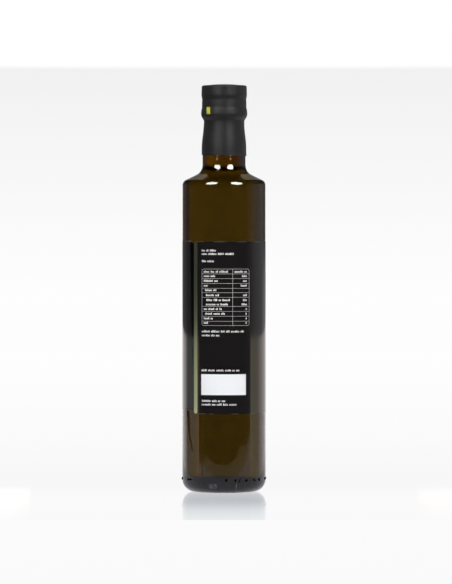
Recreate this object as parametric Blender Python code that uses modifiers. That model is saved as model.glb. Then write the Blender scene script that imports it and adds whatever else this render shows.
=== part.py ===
"""Olive oil bottle, full and closed, 293 mm tall and 60 mm round.

A dark glass bottle with a straight body, a low cone shoulder and a thick-walled neck holds the oil.
A screw cap closes the mouth, and a shrink sleeve of thin film hugs the cap and the upper neck.
Two labels wrap the body. The one on the -Y side carries a coloured edge stripe and a white panel.
Metres, +Z up, standing on z = 0. An azimuth counts from -Y towards +X.
"""

import math

import bmesh
import bpy
from mathutils import Matrix, Vector

# Glass
STEPS = 40
BODY_RADIUS = 0.0301
BODY_WALL = 0.0026
HEEL_FILLET = 0.0090
SHOULDER_SLOPE = math.radians(25.5)
SHOULDER_CORNER_Z = 0.2240
SHOULDER_FILLET = 0.0042
SHOULDER_WALL = 0.0030
NECK_RADIUS = 0.0156
NECK_FILLET = 0.0080
FLARE_LOW_Z = 0.2473
FLARE_HIGH_Z = 0.2668
FINISH_RADIUS = 0.0141
MOUTH_Z = 0.2893
LIP_FILLET = 0.0008
BORE_RADIUS = 0.0095
BORE_FILLET = 0.0060
BEARING_INNER_RADIUS = 0.0190
PUNT_DEPTH = 0.0045
FLOOR_EDGE_Z = 0.0088
FLOOR_CENTRE_Z = 0.0112
FLOOR_FILLET = 0.0052
DOME_POINTS = 3
FILLET_CHORD = math.radians(16)
SHORTEST_CHORD = 0.0004

# Mould dots round the heel: the azimuths of one half, which the other half repeats
DOT_AZIMUTHS = (-83.0, -59.0, -53.5, 3.5, 16.5, 22.0, 32.5, 47.0, 58.5, 78.5)
DOT_Z = 0.0090
DOT_BASE_RADIUS = 0.00080
DOT_TIP_RADIUS = 0.00045
DOT_HEIGHT = 0.00075
DOT_ROOT = 0.0010
DOT_SIDES = 8

# Oil
GAP = 0.0003
OIL_LEVEL_Z = 0.2490

# Screw cap: its outline from the top edge to the lower edge, as heights and radii
CAP_TOP_Z = 0.2928
CAP_OUTLINE = (
    (0.2928, 0.01555),
    (0.2863, 0.01573),
    (0.2848, 0.01550),
    (0.2831, 0.01521),
    (0.2808, 0.01538),
    (0.2773, 0.01540),
    (0.2753, 0.01588),
    (0.2728, 0.01613),
    (0.2710, 0.01588),
    (0.2694, 0.01500),
)
CAP_EDGE_FILLET = 0.0007
CAP_TOP_WALL = 0.0014
CAP_BORE_RADIUS = 0.0144

# Shrink sleeve
FILM = 0.00025
FILM_GAP = 0.0002
SLEEVE_LOWER_Z = 0.2428
SLEEVE_TUCK = 0.0020

# Labels
LABEL_GAP = 0.00025
LABEL = 0.0002
LABEL_PITCH = 360.0 / STEPS
BACK_LABEL_SPAN = (-45.8, 124.0)
BACK_LABEL_HEIGHTS = (0.0571, 0.1806)
FRONT_LABEL_SPAN = (131.0, 313.4)
FRONT_LABEL_HEIGHTS = (0.0575, 0.1785)
FRONT_LABEL_SKEW = math.radians(1.75)
SKEW_ROWS = 4
STRIPE_SPAN = (-44.8, -38.9)
STRIPE_HEIGHTS = (0.0573, 0.1802)
PANEL_SPAN = (-32.3, 30.9)
PANEL_HEIGHTS = (0.0707, 0.0856)
PRINT = 0.0001
PRINT_GAP = 0.0001


def clear_scene():
    for thing in list(bpy.data.objects):
        bpy.data.objects.remove(thing, do_unlink=True)


def new_collection(name, helper=False):
    collection = bpy.data.collections.new(name)
    bpy.context.scene.collection.children.link(collection)
    collection.hide_render = helper
    return collection


def new_material(name, colour, roughness, transmission=0.0, ior=1.5):
    material = bpy.data.materials.new(name)
    material.use_nodes = True
    shader = material.node_tree.nodes["Principled BSDF"]
    shader.inputs["Base Color"].default_value = (*colour, 1.0)
    shader.inputs["Roughness"].default_value = roughness
    shader.inputs["Metallic"].default_value = 0.0
    shader.inputs["Transmission Weight"].default_value = transmission
    shader.inputs["IOR"].default_value = ior
    material.diffuse_color = (*colour, 1.0)
    return material


def rounded(corners):
    """The outline through these (radius, height, fillet) corners, each fillet as an arc of short chords."""
    outline = []
    for index, (radius, height, fillet) in enumerate(corners):
        here = Vector((radius, height))
        if fillet == 0.0 or index in (0, len(corners) - 1):
            outline.append(here)
            continue
        back = (Vector(corners[index - 1][:2]) - here).normalized()
        ahead = (Vector(corners[index + 1][:2]) - here).normalized()
        half = back.angle(ahead) / 2
        centre = here + (back + ahead).normalized() * (fillet / math.sin(half))
        start = here + back * (fillet / math.tan(half)) - centre
        turn = start.angle_signed(here + ahead * (fillet / math.tan(half)) - centre)
        chords = max(2, math.ceil(min(abs(turn) / FILLET_CHORD, fillet / SHORTEST_CHORD)))
        for step in range(chords + 1):
            arm = start.copy()
            arm.rotate(Matrix.Rotation(-turn * step / chords, 2))
            outline.append(centre + arm)
    return outline


def dome(edge_radius, edge_z, centre_z, outward):
    """Points of a shallow dome between the axis and its edge, without the edge itself."""
    shares = [step / DOME_POINTS for step in range(DOME_POINTS)]
    points = [(share * edge_radius, centre_z + (edge_z - centre_z) * share**2, 0.0) for share in shares]
    return points if outward else points[::-1]


def turned(name, outline, collection, material):
    """A solid turned about Z from an outline at +X that runs down the outside."""
    mesh = bpy.data.meshes.new(name)
    points = [(point[0], 0.0, point[1]) for point in outline]
    mesh.from_pydata(points, [(i, i + 1) for i in range(len(points) - 1)], [])
    solid = bpy.data.objects.new(name, mesh)
    collection.objects.link(solid)
    mesh.materials.append(material)
    screw = solid.modifiers.new("Turn", "SCREW")
    screw.steps = STEPS
    screw.render_steps = STEPS
    screw.use_merge_vertices = True
    screw.merge_threshold = 0.00002
    screw.use_smooth_shade = True
    return solid


def shoulder_wall_z(radius, inset):
    """Height of the cone inside the shoulder at this radius, moved inwards by the inset."""
    outer = SHOULDER_CORNER_Z + (BODY_RADIUS - radius) * math.tan(SHOULDER_SLOPE)
    return outer - (SHOULDER_WALL + inset) / math.cos(SHOULDER_SLOPE)


def cavity_corners(inset):
    """Corners of the hollow from the middle of its floor to the foot of its bore, moved inwards."""
    wall = BODY_RADIUS - BODY_WALL - inset
    bore = BORE_RADIUS - inset
    floor = FLOOR_EDGE_Z + inset
    edge = wall - FLOOR_FILLET
    return [
        *dome(edge, floor, FLOOR_CENTRE_Z + inset, outward=True),
        (wall, floor, FLOOR_FILLET - inset),
        (wall, shoulder_wall_z(wall, inset), SHOULDER_FILLET - inset),
        (bore, shoulder_wall_z(bore, inset), BORE_FILLET + inset),
    ]


def neck_radius(height):
    """Outer radius of the neck: straight at its foot, then drawn in to the finish on half a cosine wave."""
    share = (height - FLARE_LOW_Z) / (FLARE_HIGH_Z - FLARE_LOW_Z)
    share = min(1.0, max(0.0, share))
    return NECK_RADIUS - (NECK_RADIUS - FINISH_RADIUS) * (1.0 - math.cos(math.pi * share)) / 2


def glass_outline():
    flare = [FLARE_HIGH_Z + (FLARE_LOW_Z - FLARE_HIGH_Z) * step / 6 for step in range(7)]
    neck_foot_z = SHOULDER_CORNER_Z + (BODY_RADIUS - NECK_RADIUS) * math.tan(SHOULDER_SLOPE)
    return rounded(
        [
            *cavity_corners(0.0),
            (BORE_RADIUS, MOUTH_Z, LIP_FILLET),
            (FINISH_RADIUS, MOUTH_Z, LIP_FILLET),
            *[(neck_radius(height), height, 0.0) for height in flare],
            (NECK_RADIUS, neck_foot_z, NECK_FILLET),
            (BODY_RADIUS, SHOULDER_CORNER_Z, SHOULDER_FILLET),
            (BODY_RADIUS, 0.0, HEEL_FILLET),
            (BEARING_INNER_RADIUS, 0.0, 0.0),
            *dome(BEARING_INNER_RADIUS, 0.0, PUNT_DEPTH, outward=False),
        ]
    )


def outward(azimuth):
    angle = math.radians(azimuth)
    return Vector((math.sin(angle), -math.cos(angle), 0.0))


def heel_dot(azimuth, collection):
    """One low round boss on the heel, its root sunk in the wall."""
    shape = bmesh.new()
    bmesh.ops.create_cone(
        shape,
        cap_ends=True,
        segments=DOT_SIDES,
        radius1=DOT_BASE_RADIUS,
        radius2=DOT_TIP_RADIUS,
        depth=DOT_ROOT + DOT_HEIGHT,
    )
    mesh = bpy.data.meshes.new("heel_dot")
    shape.to_mesh(mesh)
    shape.free()
    dot = bpy.data.objects.new("heel_dot", mesh)
    collection.objects.link(dot)
    facing = outward(azimuth)
    dot.rotation_euler = facing.to_track_quat("Z", "Y").to_euler()
    dot.location = facing * (BODY_RADIUS + (DOT_HEIGHT - DOT_ROOT) / 2) + Vector((0.0, 0.0, DOT_Z))
    dot.hide_render = True
    dot.display_type = "WIRE"


def make_glass(collection):
    glass = new_material("dark_glass", (0.10, 0.07, 0.015), 0.05, transmission=0.9, ior=1.52)
    bottle = turned("glass_bottle", glass_outline(), collection, glass)
    dots = new_collection("heel_dots", helper=True)
    for half_turn in (0.0, 180.0):
        for azimuth in DOT_AZIMUTHS:
            heel_dot(azimuth + half_turn, dots)
    union = bottle.modifiers.new("Heel dots", "BOOLEAN")
    union.operation = "UNION"
    union.operand_type = "COLLECTION"
    union.collection = dots


def make_oil(collection):
    oil = new_material("oil", (0.45, 0.36, 0.05), 0.02, transmission=0.9, ior=1.47)
    outline = rounded(
        [
            *cavity_corners(GAP),
            (BORE_RADIUS - GAP, OIL_LEVEL_Z, 0.0),
            (0.0, OIL_LEVEL_Z, 0.0),
        ]
    )
    turned("olive_oil", outline[::-1], collection, oil)


def closure_outline(gap):
    """The cap's outer line from the middle of its top to its lower edge, moved outwards by the gap."""
    side = [(radius + gap, height, 0.0) for height, radius in CAP_OUTLINE[1:]]
    top = CAP_TOP_Z + gap
    return rounded([(0.0, top, 0.0), (CAP_OUTLINE[0][1] + gap, top, CAP_EDGE_FILLET + gap), *side])


def make_cap(collection):
    plastic = new_material("cap_plastic", (0.03, 0.03, 0.03), 0.45)
    ceiling = CAP_TOP_Z - CAP_TOP_WALL
    inside = [(CAP_BORE_RADIUS, CAP_OUTLINE[-1][0]), (CAP_BORE_RADIUS, ceiling), (0.0, ceiling)]
    turned("screw_cap", [*closure_outline(0.0), *inside], collection, plastic)


def tucked_radius(height):
    """Radius of the film's path below the cap, where a quarter sine wave tucks it in to the neck."""
    edge_z, edge = CAP_OUTLINE[-1]
    share = min(1.0, (edge_z - height) / SLEEVE_TUCK)
    return edge + (neck_radius(height) - edge) * math.sin(share * math.pi / 2)


def make_sleeve(collection):
    film = new_material("shrink_film", (0.035, 0.035, 0.034), 0.55)
    edge_z = CAP_OUTLINE[-1][0]
    neck_top = edge_z - SLEEVE_TUCK
    tuck = [edge_z - SLEEVE_TUCK * step / 4 for step in range(1, 5)]
    neck = [neck_top + (SLEEVE_LOWER_Z - neck_top) * step / 7 for step in range(1, 8)]
    below = [(tucked_radius(height) + FILM_GAP, height) for height in tuck + neck]
    sleeve = turned("shrink_sleeve", [*closure_outline(FILM_GAP), *below], collection, film)
    wall = sleeve.modifiers.new("Film", "SOLIDIFY")
    wall.thickness = FILM
    wall.offset = 1.0
    wall.use_even_offset = True


def wrapped(name, span, heights, radius, thickness, collection, material, skew=0.0):
    """A thin sheet wrapped on the body, climbing by the skew angle as it goes round."""
    low, high = heights
    rows = SKEW_ROWS if skew else 1
    rises = [(high - low) * (1.0 - row / rows) for row in range(rows + 1)]
    leans = [rise * math.tan(skew) / radius for rise in rises]
    edge = [
        (radius * math.cos(lean), -radius * math.sin(lean), low + rise) for lean, rise in zip(leans, rises)
    ]
    mesh = bpy.data.meshes.new(name)
    mesh.from_pydata(edge, [(row, row + 1) for row in range(rows)], [])
    mesh.materials.append(material)
    sheet = bpy.data.objects.new(name, mesh)
    collection.objects.link(sheet)
    sheet.rotation_euler.z = math.radians(span[0] - 90.0)
    sweep = math.radians(span[1] - span[0])
    steps = math.ceil((span[1] - span[0]) / LABEL_PITCH)
    screw = sheet.modifiers.new("Wrap", "SCREW")
    screw.angle = sweep
    screw.screw_offset = sweep * radius * math.tan(skew)
    screw.steps = steps
    screw.render_steps = steps
    screw.use_smooth_shade = True
    wall = sheet.modifiers.new("Thickness", "SOLIDIFY")
    wall.thickness = thickness
    wall.offset = 1.0
    return sheet


def make_labels(collection):
    paper = new_material("label_black", (0.012, 0.012, 0.011), 0.35)
    green = new_material("stripe_green", (0.30, 0.37, 0.12), 0.35)
    white = new_material("panel_white", (0.88, 0.88, 0.87), 0.45)
    radius = BODY_RADIUS + LABEL_GAP
    print_radius = radius + LABEL + PRINT_GAP
    wrapped("label_back", BACK_LABEL_SPAN, BACK_LABEL_HEIGHTS, radius, LABEL, collection, paper)
    wrapped("label_stripe", STRIPE_SPAN, STRIPE_HEIGHTS, print_radius, PRINT, collection, green)
    wrapped("label_panel", PANEL_SPAN, PANEL_HEIGHTS, print_radius, PRINT, collection, white)
    wrapped(
        "label_front",
        FRONT_LABEL_SPAN,
        FRONT_LABEL_HEIGHTS,
        radius,
        LABEL,
        collection,
        paper,
        skew=FRONT_LABEL_SKEW,
    )


clear_scene()
parts = new_collection("olive_oil_bottle")
make_glass(parts)
make_oil(parts)
make_cap(parts)
make_sleeve(parts)
make_labels(parts)
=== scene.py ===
import math

import bpy
import numpy as np
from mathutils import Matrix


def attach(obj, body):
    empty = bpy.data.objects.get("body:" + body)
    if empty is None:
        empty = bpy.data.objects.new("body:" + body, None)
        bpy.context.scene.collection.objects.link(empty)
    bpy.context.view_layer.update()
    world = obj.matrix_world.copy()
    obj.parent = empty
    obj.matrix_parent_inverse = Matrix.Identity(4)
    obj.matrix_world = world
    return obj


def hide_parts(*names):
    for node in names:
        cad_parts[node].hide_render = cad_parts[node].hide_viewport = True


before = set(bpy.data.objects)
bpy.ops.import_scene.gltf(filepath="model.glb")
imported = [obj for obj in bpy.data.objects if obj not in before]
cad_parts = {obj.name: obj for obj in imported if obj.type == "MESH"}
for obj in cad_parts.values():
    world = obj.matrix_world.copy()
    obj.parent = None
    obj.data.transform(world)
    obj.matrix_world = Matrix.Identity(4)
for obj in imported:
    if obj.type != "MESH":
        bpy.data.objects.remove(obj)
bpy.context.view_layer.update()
MM = 0.001


# Glass bottle: one piece of dark olive glass, blown in a mould, with a thick base, a low cone
# shoulder and a thick-walled neck. It stands on a ring round the shallow hollow of its base.
BODY_RADIUS = 30.1
BODY_WALL = 2.6
HEEL_FILLET = 9.0
HEEL_TOP_Z = 11.0
BEARING_INNER_RADIUS = 19.0
BEARING_FILLET = 0.6
PUNT_DEPTH = 4.5
SHOULDER_SLOPE = math.radians(25.5)
SHOULDER_CORNER_Z = 224.0
SHOULDER_FILLET = 4.2
SHOULDER_WALL = 3.0
NECK_RADIUS = 15.6
SHOULDER_TOP_Z = SHOULDER_CORNER_Z + (BODY_RADIUS - NECK_RADIUS) * math.tan(SHOULDER_SLOPE)
NECK_FILLET = 8.0
FLARE_LOW_Z, FLARE_HIGH_Z = 247.3, 266.8
FINISH_RADIUS = 14.1
MOUTH_Z = 289.3
LIP_FILLET = 0.8
BORE_RADIUS = 9.5
BORE_FILLET = 6.0
FLOOR_EDGE_Z = 8.8
FLOOR_CENTRE_Z = 11.2
FLOOR_FILLET = 5.2
OIL_LEVEL_Z = 249.0
DISH_SHARES = (0.0, 0.25, 0.5, 0.75)
GLASS_INDEX = 1.52
GLASS_DENSITY = 600.0
GLASS_TINT = (0.700, 0.580, 0.030)


def outline(corners, chord=6.0, run=12.0):
    """Points along (radius, height, fillet) corners: arcs of short chords, long straight runs split up."""
    parts = []
    for index, (radius, height, fillet) in enumerate(corners):
        here = np.array([radius, height])
        if fillet == 0.0 or index in (0, len(corners) - 1):
            parts.append(here[None])
            continue
        back = np.array(corners[index - 1][:2]) - here
        ahead = np.array(corners[index + 1][:2]) - here
        back, ahead = back / np.hypot(*back), ahead / np.hypot(*ahead)
        half = np.arccos(np.clip(back @ ahead, -1, 1)) / 2
        middle = (back + ahead) / np.hypot(*(back + ahead))
        centre = here + middle * fillet / np.sin(half)
        start = here + back * fillet / np.tan(half) - centre
        sweep = np.pi - 2 * half
        side = np.sign(back[0] * ahead[1] - back[1] * ahead[0])
        turn = -side * np.linspace(0, sweep, max(3, math.ceil(math.degrees(sweep) / chord) + 1))
        arm = start[0] * np.stack([np.cos(turn), np.sin(turn)], -1)
        arm += start[1] * np.stack([-np.sin(turn), np.cos(turn)], -1)
        parts.append(centre + arm)
    points = np.concatenate(parts)
    lengths = np.hypot(*np.diff(points, axis=0).T)
    counts = np.maximum(1, np.ceil(lengths / run)).astype(int)
    starts = np.repeat(np.arange(len(counts)), counts)
    shares = np.concatenate([np.arange(count) / count for count in counts])
    split = points[starts] + (points[starts + 1] - points[starts]) * shares[:, None]
    return np.concatenate([split, points[-1:]])


def shoulder_wall_z(radius, inset):
    """Height of the cone inside the shoulder at this radius, moved inwards by the inset."""
    outer = SHOULDER_CORNER_Z + (BODY_RADIUS - radius) * math.tan(SHOULDER_SLOPE)
    return outer - (SHOULDER_WALL + inset) / math.cos(SHOULDER_SLOPE)


def hollow(inset):
    """Corners of the inside from the middle of its floor to the foot of its bore, moved inwards."""
    wall, bore, floor = BODY_RADIUS - BODY_WALL - inset, BORE_RADIUS - inset, FLOOR_EDGE_Z + inset
    edge = wall - FLOOR_FILLET
    rise = FLOOR_CENTRE_Z + inset - floor
    return [
        *[(share * edge, floor + rise * (1 - share**2), 0.0) for share in DISH_SHARES],
        (wall, floor, FLOOR_FILLET - inset),
        (wall, shoulder_wall_z(wall, inset), SHOULDER_FILLET - inset),
        (bore, shoulder_wall_z(bore, inset), BORE_FILLET + inset),
    ]


def neck_radius(height):
    """Outer radius of the neck: straight at its foot, then drawn in on half a cosine wave."""
    share = np.clip((height - FLARE_LOW_Z) / (FLARE_HIGH_Z - FLARE_LOW_Z), 0, 1)
    return NECK_RADIUS - (NECK_RADIUS - FINISH_RADIUS) * (1 - np.cos(np.pi * share)) / 2


def around(radius, azimuth, height):
    """Points in metres at this radius, azimuth from -Y towards +X, and height, all broadcast together."""
    radius, azimuth, height = np.broadcast_arrays(radius, azimuth, height)
    return np.stack([radius * np.sin(azimuth), -radius * np.cos(azimuth), height], -1) * MM


def new_object(name, points, faces, material, smooth=True):
    """A mesh object at the origin, in one material, its edges sharp past 35 degrees."""
    mesh = bpy.data.meshes.new(name)
    mesh.from_pydata(points.reshape(-1, 3), [], faces)
    mesh.materials.append(material)
    mesh.polygons.foreach_set("use_smooth", np.full(len(mesh.polygons), smooth))
    mesh.validate()
    mesh.update()
    mesh.set_sharp_from_angle(angle=math.radians(35))
    piece = bpy.data.objects.new(name, mesh)
    bpy.context.scene.collection.objects.link(piece)
    return piece


def turned(name, radius, height, azimuths, material, shift=None):
    """A closed skin of rings, each row a ring and the first and last row a point on the axis."""
    radius, height, azimuth = np.broadcast_arrays(radius, height, azimuths[None])
    rings = around(radius[1:-1], azimuth[1:-1], height[1:-1])
    if shift:
        rings = rings + shift(height[1:-1])
    rows, columns = rings.shape[:2]
    ends = around(0.0, 0.0, np.array([height[0].mean(), height[-1].mean()]))
    index = np.arange(rows * columns).reshape(rows, columns)
    ahead = np.roll(index, -1, axis=1)
    bands = np.stack([index[:-1], ahead[:-1], ahead[1:], index[1:]], -1).reshape(-1, 4)
    first = np.stack([np.full(columns, rows * columns), ahead[0], index[0]], -1)
    last = np.stack([np.full(columns, rows * columns + 1), index[-1], ahead[-1]], -1)
    points = np.concatenate([rings.reshape(-1, 3), ends])
    return new_object(name, points, bands.tolist() + first.tolist() + last.tolist(), material)


def wiring(tree):
    """Two functions for a node tree: one adds a node with its values, one links two sockets."""

    def add(kind, values=None, **settings):
        made = tree.nodes.new(kind)
        for key, value in settings.items():
            setattr(made, key, value)
        for key, value in (values or {}).items():
            made.inputs[key].default_value = value
        return made

    return add, tree.links.new


def new_material(name):
    """A material with its shader and the two functions that wire its nodes."""
    material = bpy.data.materials.new(name)
    material.use_nodes = True
    return material, material.node_tree.nodes["Principled BSDF"], *wiring(material.node_tree)


def clear_material(name, colour, density):
    """A clear material: its refractive index is read off each face, and its tint grows with depth."""
    material, shader, add, link = new_material(name)
    index = add("ShaderNodeAttribute", attribute_name="optical_index")
    link(index.outputs["Fac"], shader.inputs["IOR"])
    shader.inputs["Base Color"].default_value = (1.0, 1.0, 1.0, 1.0)
    shader.inputs["Roughness"].default_value = 0.0
    shader.inputs["Transmission Weight"].default_value = 1.0
    tint = add("ShaderNodeVolumeAbsorption", {"Color": (*colour, 1.0), "Density": density})
    link(tint.outputs["Volume"], material.node_tree.nodes["Material Output"].inputs["Volume"])
    return material


def indexed(piece, values):
    """Stores each face's refractive index, which the material reads."""
    layer = piece.data.attributes.new("optical_index", "FLOAT", "FACE")
    layer.data.foreach_set("value", np.asarray(values, dtype=np.float32))


def face_rows(piece, field):
    """The centre or the normal of each face, as rows of three numbers."""
    rows = np.zeros(len(piece.data.polygons) * 3)
    piece.data.polygons.foreach_get(field, rows)
    return rows.reshape(-1, 3)


glass_outer = outline(
    [
        *[(share * BEARING_INNER_RADIUS, PUNT_DEPTH * (1 - share**2), 0.0) for share in DISH_SHARES],
        (BEARING_INNER_RADIUS, 0.0, BEARING_FILLET),
        (BODY_RADIUS, 0.0, HEEL_FILLET),
        (BODY_RADIUS, HEEL_TOP_Z, 0.0),
        (BODY_RADIUS, SHOULDER_CORNER_Z, SHOULDER_FILLET),
        (NECK_RADIUS, SHOULDER_TOP_Z, NECK_FILLET),
        *[(neck_radius(height), height, 0.0) for height in np.linspace(FLARE_LOW_Z, FLARE_HIGH_Z, 10)],
        (FINISH_RADIUS, MOUTH_Z, LIP_FILLET),
        (BORE_RADIUS, MOUTH_Z, 0.0),
    ],
    chord=3.5,
)
glass_inner = outline([*hollow(0.0), (BORE_RADIUS, MOUTH_Z, LIP_FILLET), (BORE_RADIUS + 1.0, MOUTH_Z, 0.0)])
glass_inner = glass_inner[:-1][::-1]
glass_line = np.concatenate([glass_outer[:-1], glass_inner])
glass_azimuths = np.radians(np.arange(0, 360, 1.5))
glass = clear_material("dark_olive_glass", GLASS_TINT, GLASS_DENSITY)
bottle_glass = turned("bottle_glass", glass_line[:, :1], glass_line[:, 1:], glass_azimuths, glass)
middle, outward = face_rows(bottle_glass, "center") / MM, face_rows(bottle_glass, "normal")
within_wall = np.hypot(middle[:, 0], middle[:, 1]) < BODY_RADIUS - BODY_WALL / 2
facing_in = (outward[:, :2] * middle[:, :2]).sum(axis=1) < 0.001
on_floor = middle[:, 2] < 2 * FLOOR_CENTRE_Z
in_oil = (middle[:, 2] > PUNT_DEPTH) & (middle[:, 2] < OIL_LEVEL_Z)
wetted = within_wall & in_oil & (facing_in | on_floor)
indexed(bottle_glass, np.where(wetted, 1.0, GLASS_INDEX))
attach(bottle_glass, "root")
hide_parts("glass_bottle")


# Heel marks: a ring of small round dots, and below it a row of short upright strokes with one more
# apart. The mould raises them on the heel, of the bottle's own glass, but here they are drawn opaque:
# the dots are painted nearly black, a painted shade for the dark look of the glass dots, and the
# strokes grey, a painted sheen.
DOT_AZIMUTHS = np.radians([-83.0, -59.0, -53.5, 3.4, 16.0, 21.9, 32.5, 46.7, 57.5, 78.5])
DOT_Z = 9.6
DOT_WIDTH, DOT_TALL, DOT_HEIGHT = 0.85, 1.1, 0.75
DOT_SINK, DOT_ROOT = 0.02, 0.25
# Painted shade: near-black tones that stand in for the dark look of the glass dots.
DOT_SHADE_TONES = (0.004, 0.003, 0.002), (0.010, 0.009, 0.007)
DOT_GLEAM = 0.06
STROKE_AZIMUTHS = np.radians([-20.6, -18.4, -16.9, -14.2, -12.6, -10.6, 17.4])
STROKE_HEIGHTS = (3.7, 7.0)
STROKE_WIDTH, STROKE_HEIGHT, STROKE_ROOT = 0.65, 0.12, 0.1
# Painted sheen: grey tones that stand in for the light the glass strokes catch.
STROKE_SHEEN_TONES = (0.070, 0.067, 0.076), (0.190, 0.185, 0.205)
STROKE_GLEAM = 0.5


def closed_sheet(name, outer, inner, material):
    """Thin closed sheets, each between two grids of points, rows upwards and columns by azimuth."""
    rows, columns = outer.shape[-3:-1]
    far = rows * columns
    front = np.arange(far).reshape(rows, columns)
    back = front + far
    quads = [
        np.stack([front[:-1, :-1], front[:-1, 1:], front[1:, 1:], front[1:, :-1]], -1).reshape(-1, 4),
        np.stack([back[:-1, :-1], back[1:, :-1], back[1:, 1:], back[:-1, 1:]], -1).reshape(-1, 4),
    ]
    rim = np.concatenate([front[0, :-1], front[:-1, -1], front[-1, :0:-1], front[:0:-1, 0]])
    ahead = np.roll(rim, -1)
    quads.append(np.stack([ahead, rim, rim + far, ahead + far], -1))
    points = np.stack([outer.reshape(-1, far, 3), inner.reshape(-1, far, 3)], axis=1)
    faces = np.concatenate(quads) + 2 * far * np.arange(len(points))[:, None, None]
    return new_object(name, points, faces.reshape(-1, 4).tolist(), material)


def grained(name, tones, scale, detail=2.0, roughness=0.4):
    """A material whose colour wanders between two tones with a fine noise through the solid."""
    material, shader, add, link = new_material(name)
    where = add("ShaderNodeTexCoord")
    grain = add("ShaderNodeTexNoise", {"Scale": scale, "Detail": detail})
    link(where.outputs["Object"], grain.inputs["Vector"])
    tone = add("ShaderNodeMix", data_type="RGBA")
    for socket, colour in zip("AB", tones):
        tone.inputs[socket].default_value = (*colour, 1.0)
    link(grain.outputs["Fac"], tone.inputs["Factor"])
    link(tone.outputs["Result"], shader.inputs["Base Color"])
    shader.inputs["Roughness"].default_value = roughness
    return material, shader, add, link, grain


def raised_mark(name, place, across, outer, inner, tones, gleam):
    """Raised marks of solid glass round these azimuths, drawn opaque, with painted tones for their shade or
    sheen and their own strength of gleam.
    """
    material, shader, *_ = grained(name + "_glass", tones, 700.0, roughness=0.2)
    shader.inputs["Specular IOR Level"].default_value = gleam
    piece = closed_sheet(name, around(outer, place, across), around(inner, place, across), material)
    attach(piece, "root")


every_dot = np.concatenate([DOT_AZIMUTHS, DOT_AZIMUTHS + math.pi])[:, None, None]
level, rise = np.linspace(-1, 1, 11)[None], np.linspace(-1, 1, 11)[:, None]
sideways, upwards = level * np.sqrt(1 - rise**2 / 2), rise * np.sqrt(1 - level**2 / 2)
dome = DOT_HEIGHT * np.sqrt(np.clip(1 - sideways**2 - upwards**2, 0, 1))
raised_mark(
    "heel_dots",
    every_dot + DOT_WIDTH * sideways / BODY_RADIUS,
    DOT_Z + DOT_TALL * upwards,
    BODY_RADIUS - DOT_SINK + dome,
    BODY_RADIUS - DOT_ROOT,
    DOT_SHADE_TONES,
    DOT_GLEAM,
)
stroke_z = np.linspace(*STROKE_HEIGHTS, 7)[:, None]
stroke_r = BODY_RADIUS - HEEL_FILLET + np.sqrt(HEEL_FILLET**2 - (HEEL_FILLET - stroke_z) ** 2)
raised_mark(
    "mould_strokes",
    STROKE_AZIMUTHS[:, None, None] + np.linspace(-0.5, 0.5, 4)[None] * STROKE_WIDTH / stroke_r,
    stroke_z,
    stroke_r + STROKE_HEIGHT,
    stroke_r - STROKE_ROOT,
    STROKE_SHEEN_TONES,
    STROKE_GLEAM,
)


# Oil: the filling, clear yellow-green olive oil that touches the glass all round and stands in
# the foot of the neck with a slight rise where it meets the bore.
OIL_REACH = 0.25
OIL_INDEX = 1.47
OIL_DENSITY = 70.0
OIL_TINT = (0.429, 0.371, 0.071)
MENISCUS, MENISCUS_REACH = 0.9, 1.1
oil_side = outline([*hollow(-OIL_REACH), (BORE_RADIUS + OIL_REACH, MOUTH_Z, 0.0)])
level_radius = np.interp(OIL_LEVEL_Z + MENISCUS, oil_side[:, 1], oil_side[:, 0])
oil_side = oil_side[oil_side[:, 1] < OIL_LEVEL_Z + MENISCUS]
shares = np.linspace(1.0, 0.0, 14)
oil_top = np.stack(
    [level_radius * shares, OIL_LEVEL_Z + MENISCUS * np.exp((shares - 1) * level_radius / MENISCUS_REACH)],
    -1,
)
oil_line = np.concatenate([oil_side, oil_top])
oil_azimuths = np.radians(np.arange(0, 360, 2.5))
oil = clear_material("olive_oil_clear", OIL_TINT, OIL_DENSITY)
oil_fill = turned("oil_fill", oil_line[:, :1], oil_line[:, 1:], oil_azimuths, oil)
middle, upward = face_rows(oil_fill, "center") / MM, face_rows(oil_fill, "normal")[:, 2]
on_top = (middle[:, 2] > OIL_LEVEL_Z - MENISCUS) & (upward > 0.5)
indexed(oil_fill, np.where(on_top, OIL_INDEX, 1.0))
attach(oil_fill, "root")
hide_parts("olive_oil")


# Screw cap: a cup of black moulded plastic that is screwed on over the bottle's mouth. The film
# hides it, so its CAD solid stays and only gets its plastic here.
CAP_TONES = (0.024, 0.024, 0.024), (0.034, 0.034, 0.033)
cap_plastic, *_ = grained("cap_black_plastic", CAP_TONES, 900.0, detail=3.0, roughness=0.45)
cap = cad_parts["screw_cap"]
cap.data.materials.clear()
cap.data.materials.append(cap_plastic)


# Shrink film: thin matt black film shrunk by heat over the cap and the upper neck. It follows the
# cap's collar, groove and skirt, and it has small creases where it was drawn in.
FILM = 0.25
FILM_GAP = 0.28
FILM_LOW_Z = 242.7
FILM_TILT, TILT_END_Z = 0.5, 254.0
EDGE_FLARE, EDGE_FADE = 0.06, 0.8
CAP_TOP_Z = 292.8
CAP_EDGE_FILLET = 0.7
TUCK = 2.0
BEND_WIDTH, BEND_REACH, BEND_STEP = 0.45, 1.5, 0.05
DOME_RISE, RIM_DROP = 1.15, 0.25
RIM_RIDGE, RIDGE_RADIUS, RIDGE_WIDTH = 0.12, 13.4, 0.8
CAP_LINE = np.array(
    [
        (292.1, 15.76),
        (286.3, 15.92),
        (284.8, 15.66),
        (283.1, 15.34),
        (280.8, 15.49),
        (277.3, 15.49),
        (275.3, 15.96),
        (272.8, 16.22),
        (271.0, 15.94),
        (269.4, 15.04),
    ]
)
CAP_OFF_AXIS = 0.15
STRAIGHT_BELOW, OFF_AXIS_ABOVE = 262.0, 270.0
SKIRT_Z, SKIRT_REACH = 277.8, 4.5
GROOVE_Z, GROOVE_REACH = 282.8, 2.2
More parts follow.
